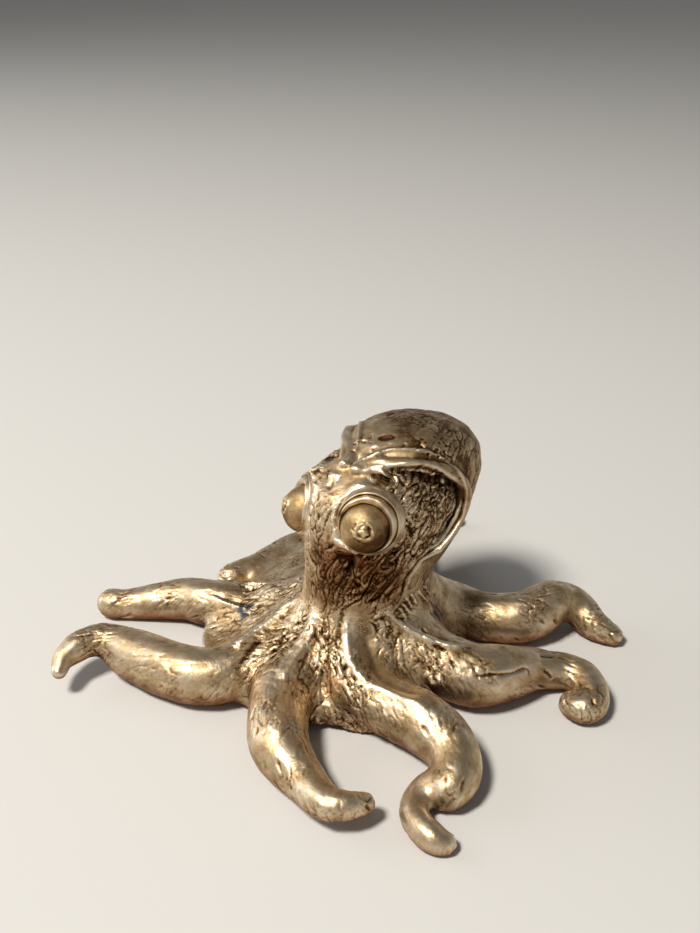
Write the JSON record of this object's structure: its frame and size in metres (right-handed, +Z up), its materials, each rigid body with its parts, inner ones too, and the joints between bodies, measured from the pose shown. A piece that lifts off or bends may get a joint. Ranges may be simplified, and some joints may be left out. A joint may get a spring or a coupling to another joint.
{
  "type": "octopus figurine",
  "caption": "Small cast brass octopus with a hooded head, button eyes and eight curling arms, standing free on a table as an ornament.",
  "frame": {"origin": "on the table, under the axis of the neck", "axes": "+Z up from the table; -Y is the way the face looks; +X is the animal's own left"},
  "size_m": [0.11, 0.1198, 0.0555],
  "materials": {
    "aged_brass": "cast and hand finished, satin, with dark patina in the hollows",
    "worn_brass": "rubbed bright by handling, satin to semi-gloss"
  },
  "bodies": {
    "root": {"arm_web": "aged_brass", "head": "aged_brass", "hood": "aged_brass", "left_eyeball": "worn_brass", "right_eyeball": "worn_brass", "left_eyelid": "aged_brass", "right_eyelid": "aged_brass", "arm_front": "aged_brass", "arm_left_front": "aged_brass", "arm_left_side": "aged_brass", "arm_left_rear": "aged_brass", "arm_back": "aged_brass", "arm_right_rear": "aged_brass", "arm_right_side": "aged_brass", "arm_right_front": "aged_brass"}
  },
  "joints": []
}
